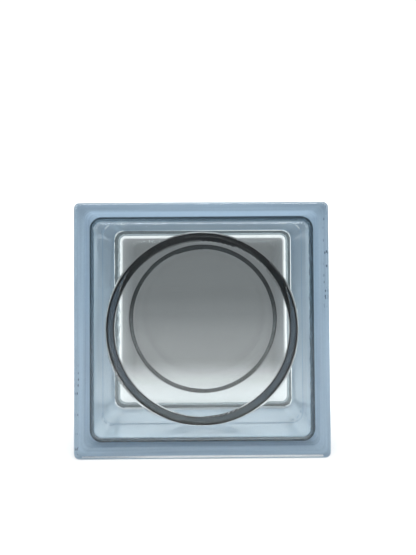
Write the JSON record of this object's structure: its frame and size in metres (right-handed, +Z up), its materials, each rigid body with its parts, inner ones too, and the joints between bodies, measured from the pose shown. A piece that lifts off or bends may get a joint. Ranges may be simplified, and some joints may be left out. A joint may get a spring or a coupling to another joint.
{
  "type": "glass block",
  "caption": "Clear hollow square glass block for walls, with flat outer faces, a round boss pressed inside each face and a mortar key round its edge.",
  "frame": {"origin": "middle of the bottom of the block's bounding box, on the surface it stands on", "axes": "+X right and +Z up seen from the front face, which is towards -Y; Y runs through the block from face to face"},
  "size_m": [0.19, 0.095, 0.19],
  "materials": {
    "pressed_glass": "clear and smooth on the faces, matt blue-grey coat on the mortar edges"
  },
  "bodies": {
    "root": {"front_half": "pressed_glass", "back_half": "pressed_glass"}
  },
  "joints": []
}
